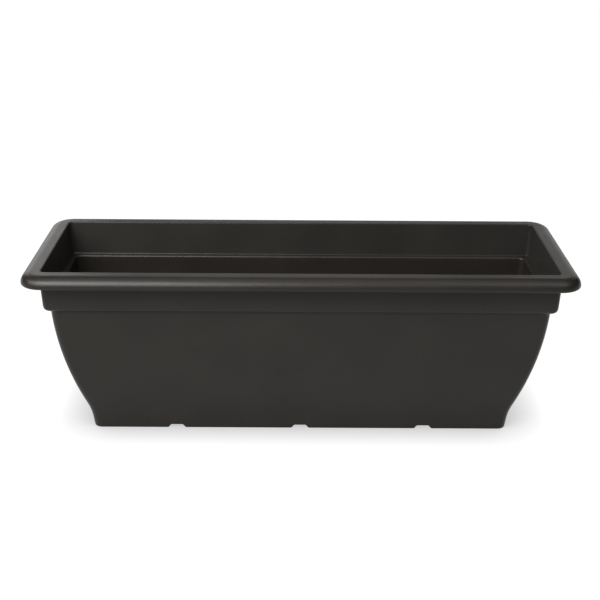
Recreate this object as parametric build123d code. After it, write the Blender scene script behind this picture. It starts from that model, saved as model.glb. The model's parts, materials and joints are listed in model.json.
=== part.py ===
"""Self-watering window-box trough with a lift-out false floor, filler tube and float gauge.

Millimetres. X runs along the trough, the front faces -Y and Z points up.
The origin is the centre of the footprint, on the surface that the trough stands on.
"""
from build123d import *
import math
import os

# ---- Trough: driving dimensions ----------------------------------------------------------
LENGTH = 600.0  # over the rim
WIDTH = 210.0  # over the rim
HEIGHT = 198.0
WALL = 2.4

# Rim flange: a flat band whose outer edge rolls over and down
RIM_CORNER = 25.5  # plan radius of the outer corner
FLANGE_WIDTH = 21.7
FLANGE_THICKNESS = 3.0
ROLL_WIDTH = 9.0
ROLL_HEIGHT = 11.3
LIP_THICKNESS = 2.6
MOUTH_ROUNDING = 2.0

# Collar: the band under the rim, with a rounded lower edge
COLLAR_DEPTH = 47.3  # from the rim's top to the collar's lower edge
COLLAR_DRAFT = 2.2  # degrees
COLLAR_ROUNDING = 6.0
COLLAR_STEP = 5.8  # from the collar in to the body
LEDGE_DEPTH = 41.5  # from the rim's top to the ledge inside
LEDGE_FILLET = 2.4
COLLAR_VOID_CORNER = 3.0
CUTTER_EXCESS = 1.0  # how far a cutting solid runs past what it cuts

# Body: a bell outline, (top, knee, foot) slopes in degrees from the vertical
END_SLOPES = (3.4, 24.4, 7.5)
SIDE_SLOPES = (1.3, 9.3, 2.8)
KNEE_HEIGHT = 30.6  # where the outline turns from convex to concave
FOOT_HEIGHT = 10.7
BODY_CORNER = 9.0
FLOOR_CLEARANCE = 4.0  # under the floor
FLOOR_THICKNESS = 3.0
FOOT_THICKNESS = 3.2
FOOT_EDGE = 1.0
NOTCH_PITCH = 141.0
NOTCH_FOOT = 20.0
NOTCH_TOP = 13.0

# ---- False floor: driving dimensions ------------------------------------------------------
DECK_HEIGHT = 60.0  # underside of the plates
DECK_THICKNESS = 2.5
DECK_SKIRT = 7.0
DECK_GAP = 2.0  # to the trough's wall
DECK_SPLIT = 3.0  # between the two plates
DECK_CORNER = 6.0
VENT_RADIUS = 2.6
VENT_PITCH = 17.5
VENT_MARGIN = 4.0  # between a vent's centre and what it keeps clear of
LEG_RADIUS = 8.0
LEG_WALL = 1.8
LEG_SPIGOT = 5.0  # solid length at the leg's top
SOCKET_WALL = 2.2
LEG_X = (22.0, 115.0, 221.0)
LEG_Y = 44.0
BASKET_X = (62.0, 155.0)
BASKET_TOP_RADIUS = 24.0
BASKET_FOOT_RADIUS = 20.0
BASKET_WALL = 1.8
BASKET_FLANGE = 4.0
BASKET_FOOT = 12.0
BASKET_SLOTS = 12
BASKET_SLOT_WIDTH = 3.2
BASKET_HOLES = 6
BASKET_HOLE_RADIUS = 2.0
BASKET_HOLE_PITCH = 11.0  # from the basket's axis
RUNNING_GAP = 0.3

# ---- Filler and gauge: driving dimensions -------------------------------------------------
FILLER_X = 215.0
FILLER_Y = -40.0
FILLER_RADIUS = 17.0
FILLER_WALL = 1.8
FILLER_DEPTH = 38.0  # of the filler's mouth under the rim
FILLER_LIP = (2.0, 4.0)  # how far the lip stands out, and its height
FILLER_FEET = (8.0, 9.0)  # width and height of the slots between the feet
SLEEVE_WALL = 3.0
SLEEVE_RISE = 5.0  # of the platform's sleeve around the filler
CAP_THICKNESS = 2.6
CAP_OVERHANG = 3.4
CAP_LIFT = 0.3  # between the cap and the filler's mouth
CAP_SKIRT = 6.0
CAP_SKIRT_WALL = 1.6
CAP_SKIRT_GAP = 0.8
CAP_TAB = (5.0, 10.0)  # length and width
HINGE_OFFSET = 3.6  # from the cap's edge to the pin's axis
KNUCKLE_RADIUS = 3.0
ARM_DROP = 0.4  # of the lugs' arms under the filler's mouth
PIN_RADIUS = 1.5
PIN_CLEARANCE = 0.05
PIN_LENGTH = 17.0
LUG_WIDTH = 3.5
KNUCKLE_WIDTH = 9.0
GAUGE_X = 174.0
GAUGE_Y = -44.0
CAGE_RADIUS = 16.0
CAGE_WALL = 1.6
CAGE_FLANGE = 3.0
CAGE_FOOT_GAP = 2.0  # above the trough's floor
CAGE_FOOT_LEDGE = 5.0
CAGE_SLOTS = 6
CAGE_SLOT_WIDTH = 4.0
FLOAT_RADIUS = 13.0
FLOAT_HEIGHT = 16.0
FLOAT_FOOT = 12.5
FLOAT_ROUNDING = 2.0
ROD_SOCKET = 12.0  # depth of the rod's end in the float
ROD_RADIUS = 1.6
STEM_RADIUS = 6.0
STEM_BORE = 2.2
WINDOW_RADIUS = 8.5
WINDOW_WALL = 1.5
WINDOW_LENGTH = 54.0
WINDOW_RISE = 5.0  # of the window's top over the filler's cap
WINDOW_GRIP = 6.0  # length of the shoulder that grips the stem
WINDOW_DOME = 4.0
STEM_OVERLAP = 8.0  # of the stem inside the window
FLAG_GAP = 1.0  # over the stem's end when the reservoir is empty
FLAG_RADIUS = 5.4
FLAG_HEIGHT = 12.0
FLAG_SOCKET = 6.0
FLAG_ROUNDING = 1.5
CLIP_HEIGHT = 100.0
CLIP_DEPTH = 8.0
CLIP_WALL = 2.2

# ---- Overflow and drain: driving dimensions -----------------------------------------------
OVERFLOW_X = 115.0
PIPE_RADIUS = 5.5
PIPE_WALL = 2.0
WATER_LEVEL = 52.0
OVERFLOW_FLANGE = 11.0
SEAL_THICKNESS = 1.6
NUT_THICKNESS = 2.6
DRAIN_X = -115.0
PLUG_RADIUS = 9.0
PLUG_FLANGE = 13.0
PLUG_HEAD = 3.0
SEAL_MARGIN = 0.5
TAB_SIZE = (20.0, 14.0)  # the tab's full height, part of it buried in the head, and its width
TAB_RISE = 6.0  # of the tab's middle above the seal
TAB_HOLE = 4.0
TAB_HALF_THICKNESS = 1.4

# ---- Derived sizes ------------------------------------------------------------------------
FLOOR_TOP = FLOOR_CLEARANCE + FLOOR_THICKNESS
DECK_TOP = DECK_HEIGHT + DECK_THICKNESS
COLLAR_BOTTOM = HEIGHT - COLLAR_DEPTH
COLLAR_TAPER = COLLAR_DEPTH * math.tan(math.radians(COLLAR_DRAFT))
COLLAR_INSET = FLANGE_WIDTH - WALL
BODY_INSET = COLLAR_INSET + COLLAR_TAPER + COLLAR_STEP
FILLER_TOP = HEIGHT - FILLER_DEPTH


def tan_degrees(angle):
    return math.tan(math.radians(angle))


def bell_offsets(slopes):
    """How far in the outline has come at the knee, at the foot's top and at the ground."""
    top, knee, foot = slopes
    at_knee = (COLLAR_BOTTOM - KNEE_HEIGHT) * tan_degrees((top + knee) / 2)
    at_foot = at_knee + (KNEE_HEIGHT - FOOT_HEIGHT) * tan_degrees((knee + foot) / 2)
    at_ground = at_foot + FOOT_HEIGHT * tan_degrees(foot)
    return at_knee, at_foot, at_ground


def bell_inset(slopes, height):
    """How far in the outline has come at any height."""
    top, knee, foot = (math.radians(angle) for angle in slopes)
    at_knee, at_foot, _ = bell_offsets(slopes)
    if height >= KNEE_HEIGHT:
        radius = (COLLAR_BOTTOM - KNEE_HEIGHT) / (math.sin(knee) - math.sin(top))
        slope = math.asin(math.sin(top) + (COLLAR_BOTTOM - height) / radius)
        return radius * (math.cos(top) - math.cos(slope))
    if height >= FOOT_HEIGHT:
        radius = (KNEE_HEIGHT - FOOT_HEIGHT) / (math.sin(knee) - math.sin(foot))
        slope = math.asin(math.sin(foot) + (height - FOOT_HEIGHT) / radius)
        return at_foot - radius * (math.cos(foot) - math.cos(slope))
    return at_foot + (FOOT_HEIGHT - height) * math.tan(foot)


def bell_face(half_top, slopes, rise):
    """Half-outline of two arcs and a straight foot, mirrored about the vertical."""
    at_knee, at_foot, at_ground = bell_offsets(slopes)
    start = (half_top, COLLAR_BOTTOM)
    knee = (half_top - at_knee, KNEE_HEIGHT)
    foot = (half_top - at_foot, FOOT_HEIGHT)
    ground = (half_top - at_ground, 0)
    top_slope = math.radians(slopes[0])
    knee_slope = math.radians(slopes[1])
    with BuildSketch() as sketch:
        with BuildLine():
            Line((0, COLLAR_BOTTOM + rise), (half_top, COLLAR_BOTTOM + rise))
            if rise > 0:
                Line((half_top, COLLAR_BOTTOM + rise), start)
            TangentArc(start, knee, tangent=(-math.sin(top_slope), -math.cos(top_slope)))
            TangentArc(knee, foot, tangent=(-math.sin(knee_slope), -math.cos(knee_slope)))
            Line(foot, ground)
            Line(ground, (0, 0))
            Line((0, 0), (0, COLLAR_BOTTOM + rise))
        make_face()
        mirror(about=Plane.YZ)
    return sketch.face()


def bell_block(inset, corner, rise=0.0):
    """The body's form: the end outline and the side outline crossed, with round corners."""
    along = Plane.XZ * bell_face(LENGTH / 2 - BODY_INSET - inset, END_SLOPES, rise)
    across = Plane.YZ * bell_face(WIDTH / 2 - BODY_INSET - inset, SIDE_SLOPES, rise)
    block = extrude(along, amount=WIDTH, both=True) & extrude(across, amount=LENGTH, both=True)
    corners = [edge for edge in block.edges() if edge.bounding_box().size.Z > 1]
    return block.solid().fillet(corner, corners)


def rounded_plate(half_x, half_y, corner, low, high, taper=0.0):
    """A plate with rounded corners; a taper narrows it upwards."""
    outline = Pos(0, 0, low) * RectangleRounded(2 * half_x, 2 * half_y, corner)
    return extrude(outline, amount=high - low, taper=taper)


def disc(x, y, radius, low, high):
    return Pos(x, y, (low + high) / 2) * Cylinder(radius, high - low)


def tube(x, y, outer, inner, low, high):
    return disc(x, y, outer, low, high) - disc(x, y, inner, low - 1, high + 1)


def block(x_range, y_range, z_range):
    sizes = [high - low for low, high in (x_range, y_range, z_range)]
    centre = [(high + low) / 2 for low, high in (x_range, y_range, z_range)]
    return Pos(*centre) * Box(*sizes)


# ---- Trough -------------------------------------------------------------------------------
def rim_section(outer):
    """Flat band, elliptical roll and round lip edge; the second axis is the height."""
    mouth = outer - FLANGE_WIDTH
    roll = outer - ROLL_WIDTH
    equator = HEIGHT - ROLL_HEIGHT
    under = HEIGHT - FLANGE_THICKNESS
    lip_inner = outer - LIP_THICKNESS
    inner_roll = (ROLL_WIDTH - LIP_THICKNESS, ROLL_HEIGHT - FLANGE_THICKNESS)
    with BuildSketch() as sketch:
        with BuildLine():
            Line((mouth, under), (mouth, HEIGHT - MOUTH_ROUNDING))
            RadiusArc((mouth, HEIGHT - MOUTH_ROUNDING), (mouth + MOUTH_ROUNDING, HEIGHT), MOUTH_ROUNDING)
            Line((mouth + MOUTH_ROUNDING, HEIGHT), (roll, HEIGHT))
            EllipticalCenterArc((roll, equator), ROLL_WIDTH, ROLL_HEIGHT, 0, arc_size=90)
            ThreePointArc(
                (outer, equator),
                (outer - LIP_THICKNESS / 2, equator - LIP_THICKNESS / 2),
                (lip_inner, equator),
            )
            EllipticalCenterArc((roll, equator), inner_roll[0], inner_roll[1], 0, arc_size=90)
            Line((roll, under), (mouth, under))
        make_face()
    return sketch.face()


def rim_ring():
    """The rim's section along both ends and both sides, and turned through the corners."""
    straight_x = LENGTH / 2 - RIM_CORNER
    straight_y = WIDTH / 2 - RIM_CORNER
    section = Plane.XZ * rim_section(LENGTH / 2)
    end_bar = extrude(section, amount=straight_y, both=True)
    side_bar = extrude(Plane.YZ * rim_section(WIDTH / 2), amount=straight_x, both=True)
    turn = Axis((straight_x, straight_y, 0), (0, 0, 1))
    corner = revolve(section.moved(Pos(0, straight_y, 0)), axis=turn, revolution_arc=90)
    other_end, other_corner = (mirror(piece, about=Plane.YZ) for piece in (end_bar, corner))
    front = [mirror(piece, about=Plane.XZ) for piece in (side_bar, corner, other_corner)]
    return [end_bar, side_bar, corner, other_end, other_corner] + front


def collar_form(inset, low, corner):
    """Drafted block inside the rim, from above the rim's top down to a given height."""
    reach = inset + (HEIGHT - low) * tan_degrees(COLLAR_DRAFT)
    high = HEIGHT + CUTTER_EXCESS
    return rounded_plate(LENGTH / 2 - reach, WIDTH / 2 - reach, corner, low, high, taper=-COLLAR_DRAFT)


def collar_outer():
    form = collar_form(COLLAR_INSET, COLLAR_BOTTOM, RIM_CORNER - COLLAR_INSET - COLLAR_TAPER)
    form = form & block((-LENGTH, LENGTH), (-WIDTH, WIDTH), (0, HEIGHT - FLANGE_THICKNESS / 2))
    lower_edges = form.edges().group_by(Axis.Z)[0]
    return form.solid().fillet(COLLAR_ROUNDING, lower_edges)


def collar_void():
    form = collar_form(FLANGE_WIDTH, HEIGHT - LEDGE_DEPTH, COLLAR_VOID_CORNER)
    lower_edges = form.edges().group_by(Axis.Z)[0]
    return form.solid().fillet(LEDGE_FILLET, lower_edges)


def body_void():
    void = bell_block(WALL, BODY_CORNER - WALL, rise=COLLAR_DEPTH - LEDGE_DEPTH + CUTTER_EXCESS)
    return void & block((-LENGTH, LENGTH), (-WIDTH, WIDTH), (FLOOR_TOP, HEIGHT))


def foot_recess():
    """The shallow space under the floor, inside the standing foot."""
    half_x = LENGTH / 2 - BODY_INSET - bell_offsets(END_SLOPES)[2] - FOOT_THICKNESS
    half_y = WIDTH / 2 - BODY_INSET - bell_offsets(SIDE_SLOPES)[2] - FOOT_THICKNESS
    return rounded_plate(half_x, half_y, BODY_CORNER - FOOT_THICKNESS, -CUTTER_EXCESS, FLOOR_CLEARANCE)


def foot_notches():
    """Three drain notches in the front foot, and three in line with them at the back."""
    outline = Polygon(
        (-NOTCH_FOOT / 2, 0),
        (NOTCH_FOOT / 2, 0),
        (NOTCH_TOP / 2, FLOOR_CLEARANCE),
        (-NOTCH_TOP / 2, FLOOR_CLEARANCE),
        align=None,
    )
    notch = extrude(Plane.XZ * outline, amount=WIDTH, both=True)
    return [Pos(index * NOTCH_PITCH, 0, 0) * notch for index in (-1, 0, 1)]


def trough_shell():
    body = bell_block(0.0, BODY_CORNER)
    foot_edges = body.edges().group_by(Axis.Z)[0]
    body = body.fillet(FOOT_EDGE, foot_edges)
    shell = body + collar_outer() + rim_ring()
    shell = shell - collar_void() - body_void() - foot_recess()
    for notch in foot_notches():
        shell = shell - notch
    shell = shell - disc(OVERFLOW_X, 0, PIPE_RADIUS + RUNNING_GAP, 0, HEIGHT / 2)
    shell = shell - disc(DRAIN_X, 0, PLUG_RADIUS + RUNNING_GAP, 0, HEIGHT / 2)
    return shell


# ---- Overflow fitting and drain plug ------------------------------------------------------
def overflow_standpipe():
    seat = FLOOR_TOP + SEAL_THICKNESS
    pipe = disc(OVERFLOW_X, 0, PIPE_RADIUS, FLOOR_CLEARANCE - NUT_THICKNESS, WATER_LEVEL)
    pipe = pipe + disc(OVERFLOW_X, 0, OVERFLOW_FLANGE, seat, seat + PIPE_WALL)
    return pipe - disc(OVERFLOW_X, 0, PIPE_RADIUS - PIPE_WALL, 0, HEIGHT / 2)


def floor_seal(x, outer, inner):
    return tube(x, 0, outer, inner + PIN_CLEARANCE, FLOOR_TOP, FLOOR_TOP + SEAL_THICKNESS)


def overflow_gasket():
    return floor_seal(OVERFLOW_X, OVERFLOW_FLANGE, PIPE_RADIUS)


def overflow_nut():
    hexagon = RegularPolygon(OVERFLOW_FLANGE, 6) - Circle(PIPE_RADIUS + PIN_CLEARANCE)
    nut = extrude(hexagon, amount=NUT_THICKNESS)
    return Pos(OVERFLOW_X, 0, FLOOR_CLEARANCE - NUT_THICKNESS) * nut


def drain_plug():
    """Bung seated from inside, with a pull tab."""
    seat = FLOOR_TOP + SEAL_THICKNESS
    plug = disc(DRAIN_X, 0, PLUG_RADIUS, FLOOR_CLEARANCE, seat)
    plug = plug + disc(DRAIN_X, 0, PLUG_FLANGE, seat, seat + PLUG_HEAD)
    hole = Pos(0, (TAB_SIZE[0] - TAB_SIZE[1]) / 2) * Circle(TAB_HOLE)
    tab = Plane.YZ * (SlotOverall(*TAB_SIZE, rotation=90) - hole)
    tab = Pos(DRAIN_X, 0, seat + TAB_RISE) * extrude(tab, amount=TAB_HALF_THICKNESS, both=True)
    above_head = disc(DRAIN_X, 0, PLUG_FLANGE, seat + PLUG_HEAD / 2, DECK_HEIGHT)
    return plug + (tab & above_head)


def drain_plug_seal():
    return floor_seal(DRAIN_X, PLUG_FLANGE - SEAL_MARGIN, PLUG_RADIUS)


# ---- False floor --------------------------------------------------------------------------
def deck_half_size():
    half_x = LENGTH / 2 - BODY_INSET - WALL - DECK_GAP
    half_y = WIDTH / 2 - BODY_INSET - WALL - DECK_GAP
    low = DECK_TOP - DECK_SKIRT
    return half_x - bell_inset(END_SLOPES, low), half_y - bell_inset(SIDE_SLOPES, low)


def leg_places(side):
    """Leg centres of one plate; the filler tube stands in for the leg at its corner."""
    places = [(side * x, y) for x in LEG_X for y in (-LEG_Y, LEG_Y)]
    return [place for place in places if math.dist(place, (FILLER_X, FILLER_Y)) > 2 * FILLER_RADIUS]


def vent_places(side, half_x, half_y):
    """A grid of vents that keeps clear of the legs, baskets, filler, gauge, pipe, plug and edges."""
    keep_off = [(x, y, LEG_RADIUS + VENT_MARGIN) for x, y in leg_places(side)]
    keep_off += [(side * x, 0.0, BASKET_TOP_RADIUS + BASKET_FLANGE + VENT_MARGIN) for x in BASKET_X]
    keep_off.append((FILLER_X, FILLER_Y, FILLER_RADIUS + 2 * VENT_MARGIN))
    keep_off.append((GAUGE_X, GAUGE_Y, CAGE_RADIUS + 2 * VENT_MARGIN))
    keep_off += [(x, 0.0, PLUG_RADIUS + VENT_MARGIN) for x in (OVERFLOW_X, DRAIN_X)]
    first = DECK_SPLIT + 2 * VENT_MARGIN
    columns = int((half_x - 2 * VENT_MARGIN - first) / VENT_PITCH) + 1
    rows = int((half_y - 2 * VENT_MARGIN) / VENT_PITCH)
    places = []
    for column in range(columns):
        for row in range(-rows, rows + 1):
            x = side * (first + column * VENT_PITCH)
            y = row * VENT_PITCH
            if all(math.hypot(x - cx, y - cy) > reach for cx, cy, reach in keep_off):
                places.append((x, y))
    return places


def platform(side):
    """One perforated plate: side is -1 for the left half and 1 for the right half."""
    half_x, half_y = deck_half_size()
    inner_x = half_x - DECK_THICKNESS
    inner_y = half_y - DECK_THICKNESS
    low = DECK_TOP - DECK_SKIRT
    plate = rounded_plate(half_x, half_y, DECK_CORNER, low, DECK_TOP)
    plate = plate - rounded_plate(inner_x, inner_y, DECK_CORNER - DECK_THICKNESS, low - 1, DECK_HEIGHT)
    near = DECK_SPLIT / 2
    half = block((near, LENGTH), (-WIDTH, WIDTH), (0, HEIGHT))
    edge_wall = block((near, near + DECK_THICKNESS), (-inner_y, inner_y), (low, DECK_TOP))
    if side < 0:
        half = mirror(half, about=Plane.YZ)
        edge_wall = mirror(edge_wall, about=Plane.YZ)
    plate = (plate & half) + edge_wall
    for x in BASKET_X:
        plate = plate - disc(side * x, 0, BASKET_TOP_RADIUS + RUNNING_GAP, low, DECK_TOP + 1)
    for x, y in leg_places(side):
        socket = disc(x, y, LEG_RADIUS + SOCKET_WALL, low, DECK_HEIGHT)
        plate = plate + socket - disc(x, y, LEG_RADIUS, low - 1, DECK_HEIGHT)
    if side > 0:
        plate = plate + disc(FILLER_X, FILLER_Y, FILLER_RADIUS + SLEEVE_WALL, low, DECK_TOP + SLEEVE_RISE)
        plate = plate - disc(FILLER_X, FILLER_Y, FILLER_RADIUS + PIN_CLEARANCE, low - 1, FILLER_TOP)
        plate = plate - disc(GAUGE_X, GAUGE_Y, CAGE_RADIUS + PIN_CLEARANCE, low - 1, DECK_TOP + 1)
    vents = [disc(x, y, VENT_RADIUS, low - 1, DECK_TOP + 1) for x, y in vent_places(side, half_x, half_y)]
    return plate - vents


def support_legs(side):
    """Hollow push-in legs from the trough's floor to the plate's sockets."""
    radius = LEG_RADIUS - PIN_CLEARANCE
    legs = []
    for x, y in leg_places(side):
        leg = disc(x, y, radius, FLOOR_TOP, DECK_HEIGHT)
        legs.append(leg - disc(x, y, radius - LEG_WALL, FLOOR_TOP - 1, DECK_HEIGHT - LEG_SPIGOT))
    return Compound(children=legs)


def wick_basket(x):
    """Tapered basket that hangs through the plate and carries wet soil down into the water."""
    inner_top = BASKET_TOP_RADIUS - BASKET_WALL
    inner_foot = BASKET_FOOT_RADIUS - BASKET_WALL
    rim_top = DECK_TOP + BASKET_WALL
    floor = BASKET_FOOT + BASKET_WALL
    profile = Polygon(
        (0, BASKET_FOOT),
        (BASKET_FOOT_RADIUS, BASKET_FOOT),
        (BASKET_TOP_RADIUS, DECK_TOP),
        (BASKET_TOP_RADIUS + BASKET_FLANGE, DECK_TOP),
        (BASKET_TOP_RADIUS + BASKET_FLANGE, rim_top),
        (inner_top, rim_top),
        (inner_foot, floor),
        (0, floor),
        align=None,
    )
    basket = revolve(Plane.XZ * profile, axis=Axis.Z)
    slot_reach = (inner_foot - BASKET_WALL, BASKET_TOP_RADIUS + BASKET_WALL)
    slot_width = (-BASKET_SLOT_WIDTH / 2, BASKET_SLOT_WIDTH / 2)
    slot = block(slot_reach, slot_width, (floor + BASKET_FLANGE, DECK_HEIGHT - 2 * BASKET_FLANGE))
    slots = [Rot(0, 0, 360 / BASKET_SLOTS * index) * slot for index in range(BASKET_SLOTS)]
    hole = disc(BASKET_HOLE_PITCH, 0, BASKET_HOLE_RADIUS, 0, floor + CUTTER_EXCESS)
    holes = [Rot(0, 0, 360 / BASKET_HOLES * index) * hole for index in range(BASKET_HOLES)]
    return Pos(x, 0, 0) * (basket - slots - holes)


# ---- Filler tube --------------------------------------------------------------------------
def hinge_place():
    return FILLER_X + FILLER_RADIUS + CAP_OVERHANG + HINGE_OFFSET, FILLER_TOP + CAP_THICKNESS / 2


def cross_pin(x, z, radius, width, y=FILLER_Y):
    """A cylinder lying across the trough, centred on the filler."""
    return Pos(x, y, z) * Rot(90, 0, 0) * Cylinder(radius, width)


def fill_tube():
    """Standing tube with a castellated foot, a collar at its mouth and two hinge lugs."""
    inner = FILLER_RADIUS - FILLER_WALL
    body = disc(FILLER_X, FILLER_Y, FILLER_RADIUS, FLOOR_TOP, FILLER_TOP)
    lip_low = FILLER_TOP - FILLER_LIP[1]
    body = body + disc(FILLER_X, FILLER_Y, FILLER_RADIUS + FILLER_LIP[0], lip_low, FILLER_TOP)
    hinge_x, hinge_z = hinge_place()
    lug_start = FILLER_X + FILLER_RADIUS - FILLER_WALL / 2
    for direction in (-1, 1):
        y = FILLER_Y + direction * (KNUCKLE_WIDTH / 2 + RUNNING_GAP + LUG_WIDTH / 2)
        y_range = (y - LUG_WIDTH / 2, y + LUG_WIDTH / 2)
        arm = block((lug_start, hinge_x), y_range, (lip_low, FILLER_TOP - ARM_DROP))
        post = block((hinge_x - KNUCKLE_RADIUS, hinge_x + KNUCKLE_RADIUS), y_range, (lip_low, hinge_z))
        body = body + arm + post + cross_pin(hinge_x, hinge_z, KNUCKLE_RADIUS, LUG_WIDTH, y)
    body = body - cross_pin(hinge_x, hinge_z, PIN_RADIUS, 3 * PIN_LENGTH)
    body = body - disc(FILLER_X, FILLER_Y, inner, 0, HEIGHT)
    slot_half, slot_height = FILLER_FEET[0] / 2, FILLER_FEET[1]
    slot = block((0, 2 * FILLER_RADIUS), (-slot_half, slot_half), (0, FLOOR_TOP + slot_height))
    for index in range(4):
        body = body - Pos(FILLER_X, FILLER_Y, 0) * Rot(0, 0, 45 + 90 * index) * slot
    return body


def cap_hinge_pin():
    hinge_x, hinge_z = hinge_place()
    return cross_pin(hinge_x, hinge_z, PIN_RADIUS, PIN_LENGTH)


def fill_cap():
    """Lid with a plug ring that drops into the mouth, a knuckle and a finger tab."""
    hinge_x, hinge_z = hinge_place()
    low = FILLER_TOP + CAP_LIFT
    high = low + CAP_THICKNESS
    plug_outer = FILLER_RADIUS - FILLER_WALL - CAP_SKIRT_GAP
    plug_inner = plug_outer - CAP_SKIRT_WALL
    lid = disc(FILLER_X, FILLER_Y, FILLER_RADIUS + CAP_OVERHANG, low, high)
    tab_end = FILLER_X - FILLER_RADIUS - CAP_OVERHANG - CAP_TAB[0]
    tab_width = (FILLER_Y - CAP_TAB[1] / 2, FILLER_Y + CAP_TAB[1] / 2)
    lid = lid + block((tab_end, FILLER_X - FILLER_RADIUS), tab_width, (low, high))
    lid = lid + tube(FILLER_X, FILLER_Y, plug_outer, plug_inner, low - CAP_SKIRT, low)
    knuckle_range = (FILLER_Y - KNUCKLE_WIDTH / 2, FILLER_Y + KNUCKLE_WIDTH / 2)
    lid = lid + block((FILLER_X + FILLER_RADIUS, hinge_x), knuckle_range, (low, high))
    lid = lid + cross_pin(hinge_x, hinge_z, KNUCKLE_RADIUS, KNUCKLE_WIDTH)
    return lid - cross_pin(hinge_x, hinge_z, PIN_RADIUS + PIN_CLEARANCE, 3 * PIN_LENGTH)


# ---- Float gauge --------------------------------------------------------------------------
def float_cage():
    """Slotted guide that keeps roots off the float, hung from the plate by its flange."""
    foot = FLOOR_TOP + CAGE_FOOT_GAP
    bore = CAGE_RADIUS - CAGE_WALL
    cage = disc(GAUGE_X, GAUGE_Y, CAGE_RADIUS, foot, DECK_TOP)
    cage = cage + disc(GAUGE_X, GAUGE_Y, CAGE_RADIUS + CAGE_FLANGE, DECK_TOP, DECK_TOP + CAGE_WALL)
    cage = cage - disc(GAUGE_X, GAUGE_Y, bore, foot + CAGE_WALL, HEIGHT)
    cage = cage - disc(GAUGE_X, GAUGE_Y, bore - CAGE_FOOT_LEDGE, 0, HEIGHT)
    slot_width = (-CAGE_SLOT_WIDTH / 2, CAGE_SLOT_WIDTH / 2)
    slot = block((bore - CAGE_WALL, CAGE_RADIUS + CAGE_WALL), slot_width, (foot + 5, DECK_HEIGHT - 10))
    for index in range(CAGE_SLOTS):
        cage = cage - Pos(GAUGE_X, GAUGE_Y, 0) * Rot(0, 0, 360 / CAGE_SLOTS * index) * slot
    return cage


def indicator_tube():
    """Cover of the cage with the narrow stem that guides the rod."""
    base = DECK_TOP + CAGE_WALL
    stem_top = indicator_low() + STEM_OVERLAP
    stem = disc(GAUGE_X, GAUGE_Y, CAGE_RADIUS + CAGE_FLANGE, base, base + CAGE_WALL)
    stem = stem + disc(GAUGE_X, GAUGE_Y, STEM_RADIUS, base, stem_top)
    return stem - disc(GAUGE_X, GAUGE_Y, STEM_BORE, 0, HEIGHT)


def indicator_low():
    """Lower edge of the clear window, whose top stands a little over the filler's cap."""
    return FILLER_TOP + CAP_THICKNESS + WINDOW_RISE - WINDOW_LENGTH


def indicator_window():
    """Clear domed sleeve on the stem's end, with an inner shoulder that grips the stem."""
    low = indicator_low()
    high = low + WINDOW_LENGTH
    bore = WINDOW_RADIUS - WINDOW_WALL
    sleeve = disc(GAUGE_X, GAUGE_Y, WINDOW_RADIUS, low, high)
    sleeve = sleeve.fillet(WINDOW_DOME, sleeve.edges().group_by(Axis.Z)[-1])
    cavity = disc(GAUGE_X, GAUGE_Y, bore, low + WINDOW_GRIP, high - WINDOW_WALL)
    cavity = cavity.fillet(WINDOW_DOME - WINDOW_WALL, cavity.edges().group_by(Axis.Z)[-1])
    return sleeve - cavity - disc(GAUGE_X, GAUGE_Y, STEM_RADIUS + PIN_CLEARANCE, 0, low + WINDOW_GRIP + 1)


def flag_low():
    """The flag rests just above the stem's end when the reservoir is empty."""
    return indicator_low() + STEM_OVERLAP + FLAG_GAP


def level_float():
    puck = disc(GAUGE_X, GAUGE_Y, FLOAT_RADIUS, FLOAT_FOOT, FLOAT_FOOT + FLOAT_HEIGHT)
    ends = puck.edges().filter_by(GeomType.CIRCLE)
    socket_low = FLOAT_FOOT + FLOAT_HEIGHT - ROD_SOCKET
    return puck.fillet(FLOAT_ROUNDING, ends) - disc(GAUGE_X, GAUGE_Y, ROD_RADIUS, socket_low, HEIGHT)


def float_rod():
    low = FLOAT_FOOT + FLOAT_HEIGHT - ROD_SOCKET
    return disc(GAUGE_X, GAUGE_Y, ROD_RADIUS, low, flag_low() + FLAG_SOCKET)


def level_flag():
    low = flag_low()
    flag = disc(GAUGE_X, GAUGE_Y, FLAG_RADIUS, low, low + FLAG_HEIGHT)
    flag = flag.fillet(FLAG_ROUNDING, flag.edges().group_by(Axis.Z)[-1])
    return flag - disc(GAUGE_X, GAUGE_Y, ROD_RADIUS, 0, low + FLAG_SOCKET)


def tube_clip():
    """Bridge that ties the gauge's stem to the filler tube."""
    low = CLIP_HEIGHT
    high = low + CLIP_DEPTH
    rings = disc(FILLER_X, FILLER_Y, FILLER_RADIUS + CLIP_WALL, low, high)
    rings = rings + disc(GAUGE_X, GAUGE_Y, STEM_RADIUS + CLIP_WALL, low, high)
    bridge = (GAUGE_Y - CLIP_WALL, GAUGE_Y + CLIP_WALL)
    rings = rings + block((GAUGE_X, FILLER_X), bridge, (low, high))
    rings = rings - disc(FILLER_X, FILLER_Y, FILLER_RADIUS + PIN_CLEARANCE, 0, HEIGHT)
    return rings - disc(GAUGE_X, GAUGE_Y, STEM_RADIUS + PIN_CLEARANCE, 0, HEIGHT)


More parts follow.
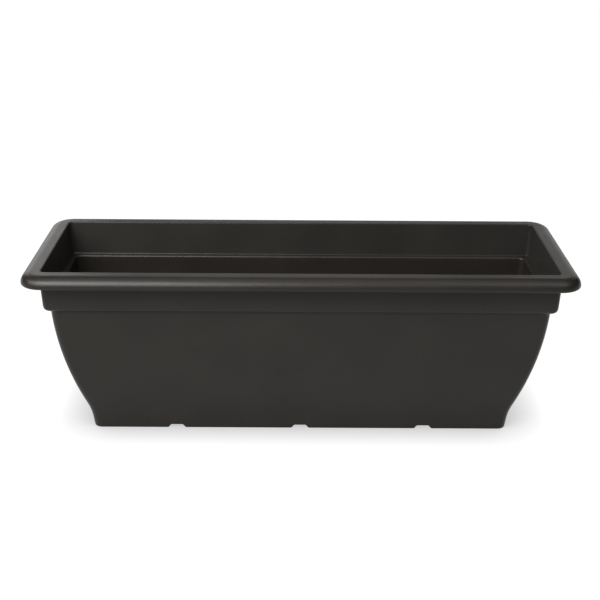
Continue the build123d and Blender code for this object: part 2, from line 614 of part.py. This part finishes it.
def build_nodes():
    return {
        "trough_shell": trough_shell(),
        "overflow_standpipe": overflow_standpipe(),
        "overflow_gasket": overflow_gasket(),
        "overflow_nut": overflow_nut(),
        "drain_plug": drain_plug(),
        "drain_plug_seal": drain_plug_seal(),
        "platform_left": platform(-1),
        "platform_right": platform(1),
        "support_legs_left": support_legs(-1),
        "support_legs_right": support_legs(1),
        "wick_basket_1": wick_basket(-BASKET_X[1]),
        "wick_basket_2": wick_basket(-BASKET_X[0]),
        "wick_basket_3": wick_basket(BASKET_X[0]),
        "wick_basket_4": wick_basket(BASKET_X[1]),
        "fill_tube": fill_tube(),
        "fill_cap": fill_cap(),
        "cap_hinge_pin": cap_hinge_pin(),
        "float_cage": float_cage(),
        "indicator_tube": indicator_tube(),
        "indicator_window": indicator_window(),
        "level_float": level_float(),
        "float_rod": float_rod(),
        "level_flag": level_flag(),
        "tube_clip": tube_clip(),
    }


os.makedirs("parts", exist_ok=True)
for name, shape in build_nodes().items():
    export_step(shape, f"parts/{name}.step")
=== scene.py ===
"""Looks of the self-watering trough: a detailed shell, materials for every part, studio and camera."""

import json
import math

import bmesh
import bpy
from mathutils import Matrix, Vector


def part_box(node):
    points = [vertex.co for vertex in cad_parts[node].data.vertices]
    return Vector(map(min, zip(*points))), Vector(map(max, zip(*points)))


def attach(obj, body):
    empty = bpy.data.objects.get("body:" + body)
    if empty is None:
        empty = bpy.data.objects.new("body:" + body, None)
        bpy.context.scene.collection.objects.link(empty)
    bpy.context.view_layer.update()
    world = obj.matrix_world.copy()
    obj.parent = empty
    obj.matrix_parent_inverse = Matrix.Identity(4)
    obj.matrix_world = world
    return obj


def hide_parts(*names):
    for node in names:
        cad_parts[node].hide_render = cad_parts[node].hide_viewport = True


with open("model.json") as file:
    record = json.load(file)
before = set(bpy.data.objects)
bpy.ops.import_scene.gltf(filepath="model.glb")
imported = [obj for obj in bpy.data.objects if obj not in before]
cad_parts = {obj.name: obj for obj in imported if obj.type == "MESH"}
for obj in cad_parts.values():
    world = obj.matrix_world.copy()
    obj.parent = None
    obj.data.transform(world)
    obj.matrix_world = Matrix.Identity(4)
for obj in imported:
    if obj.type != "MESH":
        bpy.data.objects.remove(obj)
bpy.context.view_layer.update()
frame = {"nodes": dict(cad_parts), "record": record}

MM = 0.001
SHELL_LOW, SHELL_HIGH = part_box("trough_shell")
LENGTH = (SHELL_HIGH.x - SHELL_LOW.x) / MM
WIDTH = (SHELL_HIGH.y - SHELL_LOW.y) / MM
HEIGHT = (SHELL_HIGH.z - SHELL_LOW.z) / MM

# ---- Section of the shell, in millimetres and degrees ---------------------------------------
WALL = 2.4

# Rim: a flat flange that rolls over into a turned-down lip.
RIM_CORNER = 25.5
SMALLEST_CORNER = 2.5
FLANGE_WIDTH = 21.7
FLANGE_THICKNESS = 3.0
ROLL_WIDTH = 12.0
ROLL_HEIGHT = 11.4
LIP_THICKNESS = 2.6
MOUTH_ROUNDING = 1.2
MOUTH_CORNER_EXTRA = 2.0

# Collar under the rim, and the ledge that it makes inside.
COLLAR_DEPTH = 47.3
COLLAR_DRAFT = 2.2
COLLAR_ROUNDING = 6.0
COLLAR_FILLET = 1.5
COLLAR_STEP = 5.8
COLLAR_CORNER_EXTRA = 1.0
LEDGE_DEPTH = 39.8
LEDGE_FILLET = 1.2
LEDGE_EDGE = 2.2
LEDGE_FLAT = 0.6

# Bell-shaped body: slopes from upright at its top, at the knee and at the foot.
END_SLOPES = (3.4, 24.4, 7.5)
SIDE_SLOPES = (1.3, 9.3, 2.8)
KNEE_HEIGHT = 30.6
FOOT_HEIGHT = 10.7
BODY_CORNER = 9.0
BODY_FLARE = 0.25
BODY_FLARE_HEIGHT = 0.5

# Floor and foot ring.
FLOOR_CLEARANCE = 4.0
FLOOR_THICKNESS = 3.0
FLOOR_FILLET = 2.5
FLOOR_MARGIN = 4.0
FOOT_THICKNESS = 3.2
FOOT_EDGE = 1.0
FOOT_CHAMFER = 0.5
UNDERSIDE_MARGIN = 6.0
OVERFLOW_HOLE = 5.8
DRAIN_HOLE = 9.3
HOLE_SIDES = 64

# Drain notches in the foot, and the columns of the mesh close to each of them.
NOTCH_PITCH = 141.0
NOTCH_FOOT = 20.0
NOTCH_TOP = 13.0
NOTCH_SOFTNESS = 0.15
NOTCH_BLEND = 8.0
NOTCH_HEIGHT = 3.9
NOTCH_COLUMNS = (0, 2.5, 5, 6, 6.8, 7.6, 8.4, 9.2, 10, 10.8, 11.8, 13.5)
LAST_COLUMN = 200.0
SIDE_SHARE = 0.9

SHARP_ANGLE = 50.0

COLLAR_BOTTOM = HEIGHT - COLLAR_DEPTH
COLLAR_INSET = FLANGE_WIDTH - WALL
DRAFT = math.tan(math.radians(COLLAR_DRAFT))
COLLAR_FOOT = COLLAR_INSET + COLLAR_DEPTH * DRAFT
BODY_INSET = COLLAR_FOOT + COLLAR_STEP
INNER_CORNER = BODY_CORNER - WALL
LEDGE_HEIGHT = HEIGHT - LEDGE_DEPTH
FLOOR_TOP = FLOOR_CLEARANCE + FLOOR_THICKNESS


def steps(count):
    """Fractions from 0 to 1, both ends included."""
    return [index / count for index in range(count + 1)]


def arc(radius, count, turn=math.pi / 2):
    """Pairs along an arc: the first grows from 0 as the second falls from the radius."""
    angles = [t * turn for t in steps(count)]
    return [(radius * (1 - math.cos(a)), radius * (1 - math.sin(a))) for a in angles]


def bell_inset(slopes, height):
    """How far the body's outline has come in at a height: an arc, a reverse arc, a straight foot."""
    top, knee, foot = (math.radians(angle) for angle in slopes)
    knee_drop = COLLAR_BOTTOM - KNEE_HEIGHT
    foot_drop = KNEE_HEIGHT - FOOT_HEIGHT
    at_knee = knee_drop * math.tan((top + knee) / 2)
    at_foot = at_knee + foot_drop * math.tan((knee + foot) / 2)
    if height >= KNEE_HEIGHT:
        radius = knee_drop / (math.sin(knee) - math.sin(top))
        slope = math.asin(math.sin(top) + (COLLAR_BOTTOM - min(height, COLLAR_BOTTOM)) / radius)
        return radius * (math.cos(top) - math.cos(slope))
    if height >= FOOT_HEIGHT:
        radius = foot_drop / (math.sin(knee) - math.sin(foot))
        slope = math.asin(math.sin(foot) + (height - FOOT_HEIGHT) / radius)
        return at_foot - radius * (math.cos(foot) - math.cos(slope))
    return at_foot + (FOOT_HEIGHT - height) * math.tan(foot)


def body_row(inset, corner, height):
    """One ring of the body: insets along and across from the rim's outline, radius, height."""
    base = BODY_INSET + inset
    along = base + bell_inset(END_SLOPES, height)
    across = base + bell_inset(SIDE_SLOPES, height)
    return (along, across, corner, height)


def placed_row(inset, corner, level, height):
    """A ring with the body's outline at one level, put at another height."""
    return body_row(inset, corner, level)[:3] + (height,)


def even_row(inset, height, corner=None):
    """One ring with the same inset all round; its corner follows the rim's unless it is given."""
    if corner is None:
        corner = max(RIM_CORNER - inset, SMALLEST_CORNER)
    return (inset, inset, corner, height)


def body_heights():
    """Heights of the body's rings, from just over the foot's edge up to the collar."""
    heights = [FOOT_EDGE + t * (FOOT_HEIGHT - FOOT_EDGE) for t in steps(4)][1:]
    heights += [FOOT_HEIGHT + t * (KNEE_HEIGHT - FOOT_HEIGHT) for t in steps(8)][1:]
    heights += [KNEE_HEIGHT + t * (COLLAR_BOTTOM - KNEE_HEIGHT) for t in steps(22)][1:]
    return heights


def foot_rows():
    """From the underside of the floor down the foot ring's inside and round its lower edge."""
    corner = BODY_CORNER - FOOT_THICKNESS
    rows = [placed_row(FOOT_THICKNESS + UNDERSIDE_MARGIN, corner, 0, FLOOR_CLEARANCE)]
    for t in steps(3):
        height = FLOOR_CLEARANCE * (1 - t) + FOOT_CHAMFER * t
        rows.append(placed_row(FOOT_THICKNESS, corner, 0, height))
    rows.append(placed_row(FOOT_THICKNESS - FOOT_CHAMFER, corner, 0, 0.0))
    rows += [placed_row(inset, BODY_CORNER, 0, height) for height, inset in arc(FOOT_EDGE, 5)]
    return rows


def body_rows():
    """Up the outside of the bell-shaped body."""
    rows = [body_row(0, BODY_CORNER, height) for height in body_heights()[:-1]]
    rows.append(body_row(0, BODY_CORNER, COLLAR_BOTTOM - BODY_FLARE_HEIGHT))
    rows.append(body_row(-BODY_FLARE, BODY_CORNER, COLLAR_BOTTOM))
    return rows


def collar_rows():
    """Out under the collar, up its face and into the flange's underside."""
    corner = RIM_CORNER - COLLAR_FOOT + COLLAR_CORNER_EXTRA
    turn = math.pi / 2 - math.radians(COLLAR_DRAFT)
    rounding = arc(COLLAR_ROUNDING, 8, turn)
    rows = [even_row(COLLAR_FOOT + inset, COLLAR_BOTTOM + rise, corner) for rise, inset in rounding]
    start = COLLAR_BOTTOM + COLLAR_ROUNDING
    flange_low = HEIGHT - FLANGE_THICKNESS
    for t in (0.03, 0.25, 0.5, 0.75, 0.95):
        height = start + t * (flange_low - COLLAR_FILLET - start)
        rows.append(even_row(COLLAR_INSET + (HEIGHT - height) * DRAFT, height, corner))
    rows += [even_row(COLLAR_INSET - out, flange_low - drop) for out, drop in arc(COLLAR_FILLET, 3)]
    return rows


def roll_curve(inset, drop, count):
    """The rim's top as it turns over and down: a quarter ellipse, set in from the outer face."""
    half_width = ROLL_WIDTH - inset
    half_height = ROLL_HEIGHT - drop
    equator = HEIGHT - ROLL_HEIGHT
    angles = [t * math.pi / 2 for t in steps(count)]
    return [(ROLL_WIDTH - half_width * math.sin(a), equator + half_height * math.cos(a)) for a in angles]


def rim_rows():
    """Under the flange, round the lip, over the roll and flat to the mouth's edge."""
    rows = [even_row(*place) for place in roll_curve(LIP_THICKNESS, FLANGE_THICKNESS, 10)]
    lip = LIP_THICKNESS / 2
    equator = HEIGHT - ROLL_HEIGHT
    for t in steps(8)[1:]:
        angle = t * math.pi
        rows.append(even_row(lip + lip * math.cos(angle), equator - lip * math.sin(angle)))
    rows += [even_row(*place) for place in reversed(roll_curve(0.0, 0.0, 20)[:-1])]
    mouth = FLANGE_WIDTH - MOUTH_ROUNDING
    rows += [even_row(ROLL_WIDTH + t * (mouth - ROLL_WIDTH), HEIGHT) for t in (0.06, 0.4, 0.92)]
    corner = RIM_CORNER - FLANGE_WIDTH + MOUTH_CORNER_EXTRA
    for drop, left in arc(MOUTH_ROUNDING, 6):
        rows.append(even_row(FLANGE_WIDTH - left, HEIGHT - drop, corner))
    return rows


def ledge_rows():
    """Down the mouth's wall to the ledge and over the ledge's edge."""
    corner = RIM_CORNER - FLANGE_WIDTH
    rows = []
    for t in (0.05, 0.3, 0.6, 0.95):
        height = HEIGHT - MOUTH_ROUNDING - t * (LEDGE_DEPTH - MOUTH_ROUNDING - LEDGE_FILLET)
        rows.append(even_row(FLANGE_WIDTH + (HEIGHT - height) * DRAFT, height, corner))
    wall_foot = FLANGE_WIDTH + LEDGE_DEPTH * DRAFT
    fillet = arc(LEDGE_FILLET, 6)
    rows += [even_row(wall_foot + inset, LEDGE_HEIGHT + rise, corner) for inset, rise in fillet]
    edge_inset = BODY_INSET + WALL
    rows.append(even_row(edge_inset - LEDGE_EDGE - LEDGE_FLAT, LEDGE_HEIGHT, INNER_CORNER))
    edge = arc(LEDGE_EDGE, 5)
    rows += [even_row(edge_inset - left, LEDGE_HEIGHT - drop, INNER_CORNER) for drop, left in edge]
    return rows


def inside_rows():
    """Down the inside of the bell to the floor."""
    lowest = FLOOR_TOP + FLOOR_FILLET + 1
    heights = [height for height in reversed(body_heights()) if height > lowest]
    rows = [body_row(WALL, INNER_CORNER, height) for height in heights]
    for inset, rise in arc(FLOOR_FILLET, 5):
        rows.append(placed_row(WALL + inset, INNER_CORNER, FLOOR_TOP, FLOOR_TOP + rise))
    rows.append(placed_row(WALL + FLOOR_FILLET + FLOOR_MARGIN, INNER_CORNER, FLOOR_TOP, FLOOR_TOP))
    return rows


def shell_rows():
    """Rings from the underside of the floor, round the foot, up the outside, over the rim, down inside."""
    return foot_rows() + body_rows() + collar_rows() + rim_rows() + ledge_rows() + inside_rows()


def notch_rise(x):
    """Height of the foot's lower edge above the ground: three trapeziums with soft corners."""
    offset = min(abs(x - index * NOTCH_PITCH) for index in (-1, 0, 1))
    t = (NOTCH_FOOT / 2 - offset) / ((NOTCH_FOOT - NOTCH_TOP) / 2)
    t = min(max((t + NOTCH_SOFTNESS) / (1 + 2 * NOTCH_SOFTNESS), 0.0), 1.0)
    return NOTCH_HEIGHT * t * t * (3 - 2 * t)


def side_places():
    """Places along half a long side where columns of the mesh stand, close together at notches."""
    reach = NOTCH_COLUMNS[-1]
    after = NOTCH_PITCH + reach
    places = set(NOTCH_COLUMNS)
    places |= {NOTCH_PITCH + side * value for value in NOTCH_COLUMNS for side in (-1, 1)}
    places |= {reach + t * (NOTCH_PITCH - 2 * reach) for t in steps(7)}
    places |= {after + t * (LAST_COLUMN - after) for t in steps(3)}
    return sorted(round(value, 3) for value in places)


def ring_points(row):
    """Points once round a ring, from the middle of the right-hand end, anticlockwise."""
    inset_x, inset_y, radius, height = row
    half_x = LENGTH / 2 - inset_x
    half_y = WIDTH / 2 - inset_y
    straight_x = half_x - radius
    straight_y = half_y - radius
    end = [(half_x, straight_y * t) for t in steps(6)[:-1]]
    corner = []
    for t in steps(10):
        angle = t * math.pi / 2
        corner.append((straight_x + radius * math.cos(angle), straight_y + radius * math.sin(angle)))
    places = side_places()
    outer = [places[-1] + (straight_x - places[-1]) * t for t in steps(4)[1:-1]]
    side = [(x, half_y) for x in reversed(places + outer)]
    quarter = end + corner + side
    half = quarter + [(-x, y) for x, y in reversed(quarter[:-1])]
    ring = half + [(x, -y) for x, y in reversed(half[1:-1])]
    points = []
    for x, y in ring:
        z = height
        if height < NOTCH_BLEND and abs(y) > straight_y + radius * SIDE_SHARE:
            rise = notch_rise(x)
            z = rise + height * (NOTCH_BLEND - rise) / NOTCH_BLEND
        points.append((x, y, z))
    return points


def ring_mesh(name, rows, ring):
    """A closed mesh: rings joined by quads, with one face over the first and the last ring."""
    mesh = bpy.data.meshes.new(name)
    work = bmesh.new()
    rings = [[work.verts.new(Vector(point) * MM) for point in ring(row)] for row in rows]
    for lower, upper in zip(rings, rings[1:]):
        count = len(lower)
        for index in range(count):
            after = (index + 1) % count
            work.faces.new((lower[index], lower[after], upper[after], upper[index]))
    work.faces.new(list(reversed(rings[0])))
    work.faces.new(rings[-1])
    bmesh.ops.recalc_face_normals(work, faces=work.faces)
    work.to_mesh(mesh)
    work.free()
    piece = bpy.data.objects.new(name, mesh)
    bpy.context.scene.collection.objects.link(piece)
    return piece


def drill(piece, node, radius):
    """A round hole straight down through the floor, on the axis of the fitting that fills it."""
    low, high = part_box(node)
    size = radius * MM
    work = bmesh.new()
    bmesh.ops.create_cone(
        work, cap_ends=True, segments=HOLE_SIDES, radius1=size, radius2=size, depth=2 * FLOOR_TOP * MM
    )
    cutter_mesh = bpy.data.meshes.new("cutter")
    work.to_mesh(cutter_mesh)
    work.free()
    cutter = bpy.data.objects.new("cutter", cutter_mesh)
    bpy.context.scene.collection.objects.link(cutter)
    cutter.location = ((low.x + high.x) / 2, (low.y + high.y) / 2, FLOOR_TOP / 2 * MM)
    cut = piece.modifiers.new("hole", "BOOLEAN")
    cut.operation = "DIFFERENCE"
    cut.solver = "EXACT"
    cut.object = cutter
    settled = piece.evaluated_get(bpy.context.evaluated_depsgraph_get())
    drilled = bpy.data.meshes.new_from_object(settled)
    piece.modifiers.clear()
    piece.data = drilled
    bpy.data.objects.remove(cutter)


def smooth_shading(piece):
    """Smooth faces, with hard edges only where the surface turns sharply."""
    for polygon in piece.data.polygons:
        polygon.use_smooth = True
    piece.data.set_sharp_from_angle(angle=math.radians(SHARP_ANGLE))


shell = ring_mesh("shell_body", shell_rows(), ring_points)
drill(shell, "overflow_standpipe", OVERFLOW_HOLE)
drill(shell, "drain_plug", DRAIN_HOLE)
smooth_shading(shell)


# ---- Materials ------------------------------------------------------------------------------
CLOUD_SCALE = 14.0
CLOUD_BAND = (0.3, 0.7)
GLOSS_SCALE = 45.0
GLOSS_SPREAD = 0.04
GRAIN_SCALE = 900.0
GRAIN_DEPTH = 0.0004
TROUGH_COLOUR = (0.0116, 0.0100, 0.0084)
# Painted light: a lighter copy of the trough's colour for the wall between the mouth and the ledge,
# standing in for light that falls there.
MOUTH_PAINTED_LIGHT_COLOUR = (0.0160, 0.0148, 0.0132)
CLEAR_COLOUR = (0.93, 0.96, 0.97, 1)
CLEAR_INDEX = 1.49
STEEL_COLOUR = (0.62, 0.62, 0.63, 1)


def new_material(name):
    material = bpy.data.materials.new(name)
    material.use_nodes = True
    nodes = material.node_tree.nodes
    return material, nodes, material.node_tree.links, nodes["Principled BSDF"]


def noise(nodes, links, place, scale, detail=3.0):
    """Noise fixed to the object, so that it moves with it."""
    node = nodes.new("ShaderNodeTexNoise")
    node.inputs["Scale"].default_value = scale
    node.inputs["Detail"].default_value = detail
    node.inputs["Roughness"].default_value = 0.5
    links.new(place.outputs["Object"], node.inputs["Vector"])
    return node


def spread_roughness(nodes, links, shader, pattern, least, most):
    """Roughness that wanders between two values with a noise pattern."""
    spread = nodes.new("ShaderNodeMapRange")
    spread.inputs["To Min"].default_value = least
    spread.inputs["To Max"].default_value = most
    links.new(pattern.outputs["Fac"], spread.inputs["Value"])
    links.new(spread.outputs["Result"], shader.inputs["Roughness"])


def moulded_plastic(name, colour, roughness, specular=0.5, grain=0.05, shade=0.12, grain_scale=GRAIN_SCALE):
    """Moulded polypropylene: faint cloudy colour, slightly uneven gloss and a fine spark-eroded grain."""
    material, nodes, links, shader = new_material(name)
    place = nodes.new("ShaderNodeTexCoord")
    clouds = noise(nodes, links, place, CLOUD_SCALE, 4.0)
    ramp = nodes.new("ShaderNodeValToRGB")
    dark, light = ramp.color_ramp.elements
    dark.position, light.position = CLOUD_BAND
    dark.color = [c * (1 - shade) for c in colour] + [1]
    light.color = [c * (1 + shade) for c in colour] + [1]
    links.new(clouds.outputs["Fac"], ramp.inputs["Fac"])
    links.new(ramp.outputs["Color"], shader.inputs["Base Color"])
    gloss = noise(nodes, links, place, GLOSS_SCALE, 5.0)
    spread_roughness(nodes, links, shader, gloss, roughness - GLOSS_SPREAD, roughness + GLOSS_SPREAD)
    shader.inputs["Specular IOR Level"].default_value = specular
    fine = noise(nodes, links, place, grain_scale, 2.0)
    bump = nodes.new("ShaderNodeBump")
    bump.inputs["Strength"].default_value = grain
    bump.inputs["Distance"].default_value = GRAIN_DEPTH
    links.new(fine.outputs["Fac"], bump.inputs["Height"])
    links.new(bump.outputs["Normal"], shader.inputs["Normal"])
    return material


def clear_plastic():
    material, nodes, links, shader = new_material("clear_plastic")
    shader.inputs["Base Color"].default_value = CLEAR_COLOUR
    shader.inputs["Transmission Weight"].default_value = 1.0
    shader.inputs["IOR"].default_value = CLEAR_INDEX
    place = nodes.new("ShaderNodeTexCoord")
    haze = noise(nodes, links, place, 60.0)
    spread_roughness(nodes, links, shader, haze, 0.02, 0.12)
    return material


def brushed_steel():
    material, nodes, links, shader = new_material("pin_steel")
    shader.inputs["Metallic"].default_value = 1.0
    shader.inputs["Base Color"].default_value = STEEL_COLOUR
    place = nodes.new("ShaderNodeTexCoord")
    streaks = noise(nodes, links, place, 500.0)
    spread_roughness(nodes, links, shader, streaks, 0.22, 0.4)
    return material


def gets_painted_light(centre):
    """Whether a face belongs to the wall between the mouth's edge and the ledge, the wall painted lighter
    as if more light fell on it.
    """
    within_x = abs(centre.x) < LENGTH / 2 - FLANGE_WIDTH
    within_y = abs(centre.y) < WIDTH / 2 - FLANGE_WIDTH
    return within_x and within_y and centre.z > LEDGE_HEIGHT + LEDGE_FILLET


trough_plastic = moulded_plastic("trough_plastic", TROUGH_COLOUR, 0.34, specular=0.2, grain=0.4)
# Painted light: the wall above the ledge gets a lighter copy of the trough plastic in place of the light
# that falls on it.
painted_light_plastic = moulded_plastic("painted_light_plastic", MOUTH_PAINTED_LIGHT_COLOUR, 0.34, specular=0.25, grain=0.4)
shell.data.materials.append(trough_plastic)
shell.data.materials.append(painted_light_plastic)
for polygon in shell.data.polygons:
    if gets_painted_light(polygon.center / MM):
        polygon.material_index = 1
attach(shell, "trough")
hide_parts("trough_shell")

SLOT_LOOKS = {
    "insert_pp": moulded_plastic("insert_plastic", (0.012, 0.012, 0.013), 0.5, grain=0.2),
    "fitting_pp": moulded_plastic("fitting_plastic", (0.016, 0.016, 0.018), 0.4, grain=0.1),
    "cap_pp": moulded_plastic("cap_plastic", (0.020, 0.0185, 0.0165), 0.5, specular=0.2, grain=0.1),
    "float_foam": moulded_plastic("float_foam", (0.72, 0.70, 0.62), 0.8, grain=0.6, grain_scale=700.0),
    "rod_pp": moulded_plastic("rod_plastic", (0.62, 0.62, 0.60), 0.45, grain=0.05),
    "flag_red": moulded_plastic("flag_plastic", (0.55, 0.015, 0.012), 0.25, grain=0.03),
    "seal_rubber": moulded_plastic("seal_rubber", (0.010, 0.010, 0.010), 0.7, grain=0.4),
    "clear_window": clear_plastic(),
    "pin_steel": brushed_steel(),
}
for entry in frame["record"]["subparts"]:
    look = SLOT_LOOKS.get(entry["material_slot"])
    if look:
        node = frame["nodes"][entry["node"]]
        for slot in node.material_slots:
            slot.material = look


# ---- Studio ---------------------------------------------------------------------------------
LIGHT_DISTANCE = 1.6
LIGHT_AIM = Vector((0.0, 0.0, 0.15))
SOFTBOX = (0.8, 0.6)
STUDIO_LIGHTS = (  # degrees round from the front towards the right, degrees up, watts, size
    ("key_light", -30, 35, 26.4, SOFTBOX),
    ("high_light", -30, 50, 18.0, SOFTBOX),
    ("side_light", -65, 30, 14.6, SOFTBOX),
    ("fill_light", 50, 50, 6.4, SOFTBOX),
    ("left_rim_light", -145, 18, 3.0, SOFTBOX),
    ("right_rim_light", 145, 18, 1.2, SOFTBOX),
    ("top_light", 0, 85, 8.0, (1.6, 1.2)),
    ("back_light", 180, 35, 1.9, (0.8, 1.0)),
    ("low_back_light", 180, 6, 2.2, (2.4, 0.5)),
)
FLOOR_REACH = 6.0
FLOOR_GREY = (0.05, 0.05, 0.05, 1)
# Painted contact shadow on the floor: its reach, the openness where it starts and its darkest glow.
SHADOW_REACH = 0.055
SHADOW_OPENNESS = 0.45
SHADOW_GLOW = 0.58
WHITE = (1, 1, 1, 1)
WORLD_LIGHT = 0.02


def studio_floor():
    """A white floor that glows evenly, with a painted contact shadow: its glow is dimmed where the object
    stands close over it.
    """
    mesh = bpy.data.meshes.new("studio_floor")
    work = bmesh.new()
    bmesh.ops.create_grid(work, x_segments=8, y_segments=8, size=FLOOR_REACH)
    work.to_mesh(mesh)
    work.free()
    floor = bpy.data.objects.new("studio_floor", mesh)
    bpy.context.scene.collection.objects.link(floor)
    floor.location.z = SHELL_LOW.z
    material, nodes, links, shader = new_material("floor_white")
    shader.inputs["Base Color"].default_value = FLOOR_GREY
    shader.inputs["Roughness"].default_value = 0.9
    shader.inputs["Specular IOR Level"].default_value = 0.0
    shader.inputs["Emission Color"].default_value = WHITE
    # Painted shadow: ambient occlusion near the object dims the floor's glow.
    painted_shadow_nearness = nodes.new("ShaderNodeAmbientOcclusion")
    painted_shadow_nearness.inputs["Distance"].default_value = SHADOW_REACH
    glow = nodes.new("ShaderNodeMapRange")
    glow.inputs["From Min"].default_value = SHADOW_OPENNESS
    glow.inputs["To Min"].default_value = SHADOW_GLOW
    glow.inputs["To Max"].default_value = 1.0
    links.new(painted_shadow_nearness.outputs["AO"], glow.inputs["Value"])
    links.new(glow.outputs["Result"], shader.inputs["Emission Strength"])
    mesh.materials.append(material)


def soft_light(name, around, up, power, size):
    """A rectangular softbox at a set distance, turned to the object."""
    around = math.radians(around)
    up = math.radians(up)
    data = bpy.data.lights.new(name, "AREA")
    data.shape = "RECTANGLE"
    data.size, data.size_y = size
    data.energy = power
    light = bpy.data.objects.new(name, data)
    light.visible_camera = False
    bpy.context.scene.collection.objects.link(light)
    towards = Vector((math.sin(around) * math.cos(up), -math.cos(around) * math.cos(up), math.sin(up)))
    light.location = LIGHT_AIM + LIGHT_DISTANCE * towards
    light.rotation_euler = (-towards).to_track_quat("-Z", "Y").to_euler()


def studio_world():
    """A plain white background that adds hardly any light of its own."""
    world = bpy.data.worlds.new("studio_world")
    bpy.context.scene.world = world
    world.use_nodes = True
    nodes = world.node_tree.nodes
    links = world.node_tree.links
    path = nodes.new("ShaderNodeLightPath")
    strength = nodes.new("ShaderNodeMapRange")
    strength.inputs["To Min"].default_value = WORLD_LIGHT
    strength.inputs["To Max"].default_value = 1.0
    links.new(path.outputs["Is Camera Ray"], strength.inputs["Value"])
    links.new(strength.outputs["Result"], nodes["Background"].inputs["Strength"])
    nodes["Background"].inputs["Color"].default_value = WHITE


studio_floor()
studio_world()
for studio_light in STUDIO_LIGHTS:
    soft_light(*studio_light)
bpy.context.scene.view_settings.view_transform = "Standard"


# ---- Camera ---------------------------------------------------------------------------------
CAMERA_PLACE = Vector((-0.0066, -1.1854, SHELL_HIGH.z + 0.4285))
CAMERA_YAW = math.radians(0.285)
CAMERA_PITCH = math.radians(22.62)
CAMERA_ROLL = math.radians(0.435)
CAMERA_LENS = 66.6
CAMERA_SENSOR = 36.0


def studio_camera():
    """The camera of the main view: a little above the rim, turned slightly and rolled slightly."""
    ahead = math.cos(CAMERA_PITCH)
    forward = Vector((math.sin(CAMERA_YAW) * ahead, math.cos(CAMERA_YAW) * ahead, -math.sin(CAMERA_PITCH)))
    level = Vector((math.cos(CAMERA_YAW), -math.sin(CAMERA_YAW), 0))
    above = level.cross(forward)
    right = math.cos(CAMERA_ROLL) * level + math.sin(CAMERA_ROLL) * above
    up = math.cos(CAMERA_ROLL) * above - math.sin(CAMERA_ROLL) * level
    data = bpy.data.cameras.new("camera")
    data.lens = CAMERA_LENS
    data.sensor_width = CAMERA_SENSOR
    camera = bpy.data.objects.new("camera", data)
    bpy.context.scene.collection.objects.link(camera)
    turn = Matrix((right, up, -forward)).transposed().to_4x4()
    camera.matrix_world = Matrix.Translation(CAMERA_PLACE) @ turn
    bpy.context.scene.camera = camera


studio_camera()
